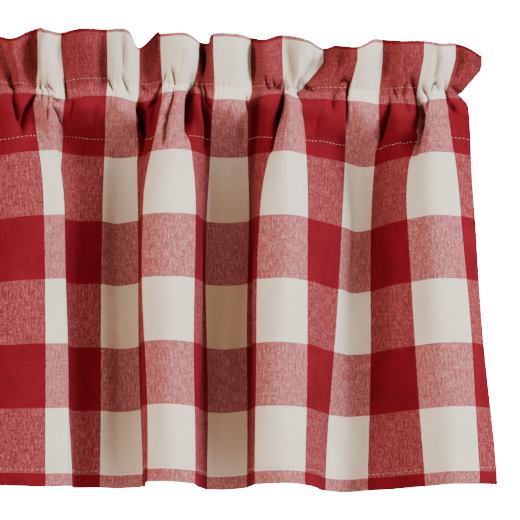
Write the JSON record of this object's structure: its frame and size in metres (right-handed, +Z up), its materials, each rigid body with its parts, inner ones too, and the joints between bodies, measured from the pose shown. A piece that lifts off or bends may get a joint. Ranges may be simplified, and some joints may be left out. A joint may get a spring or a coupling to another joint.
{
  "type": "window valance",
  "caption": "Gathered cotton window valance with a frilled top edge, a rod pocket and a skirt that hangs in soft uneven folds, in a woven check.",
  "frame": {"origin": "on the fold of the frill's top edge, where the edge crosses the plane that the folds swing about, nearest to mid-width", "axes": "+X to the right along the rod as seen from the room, +Y from the room towards the window, +Z up"},
  "size_m": [0.9923, 0.0785, 0.3642],
  "materials": {
    "heading_cotton": "matt woven cotton, yarn-dyed red and cream check",
    "skirt_cotton": "matt woven cotton, yarn-dyed red and cream check"
  },
  "bodies": {
    "root": {"heading": "heading_cotton", "skirt": "skirt_cotton"}
  },
  "joints": []
}
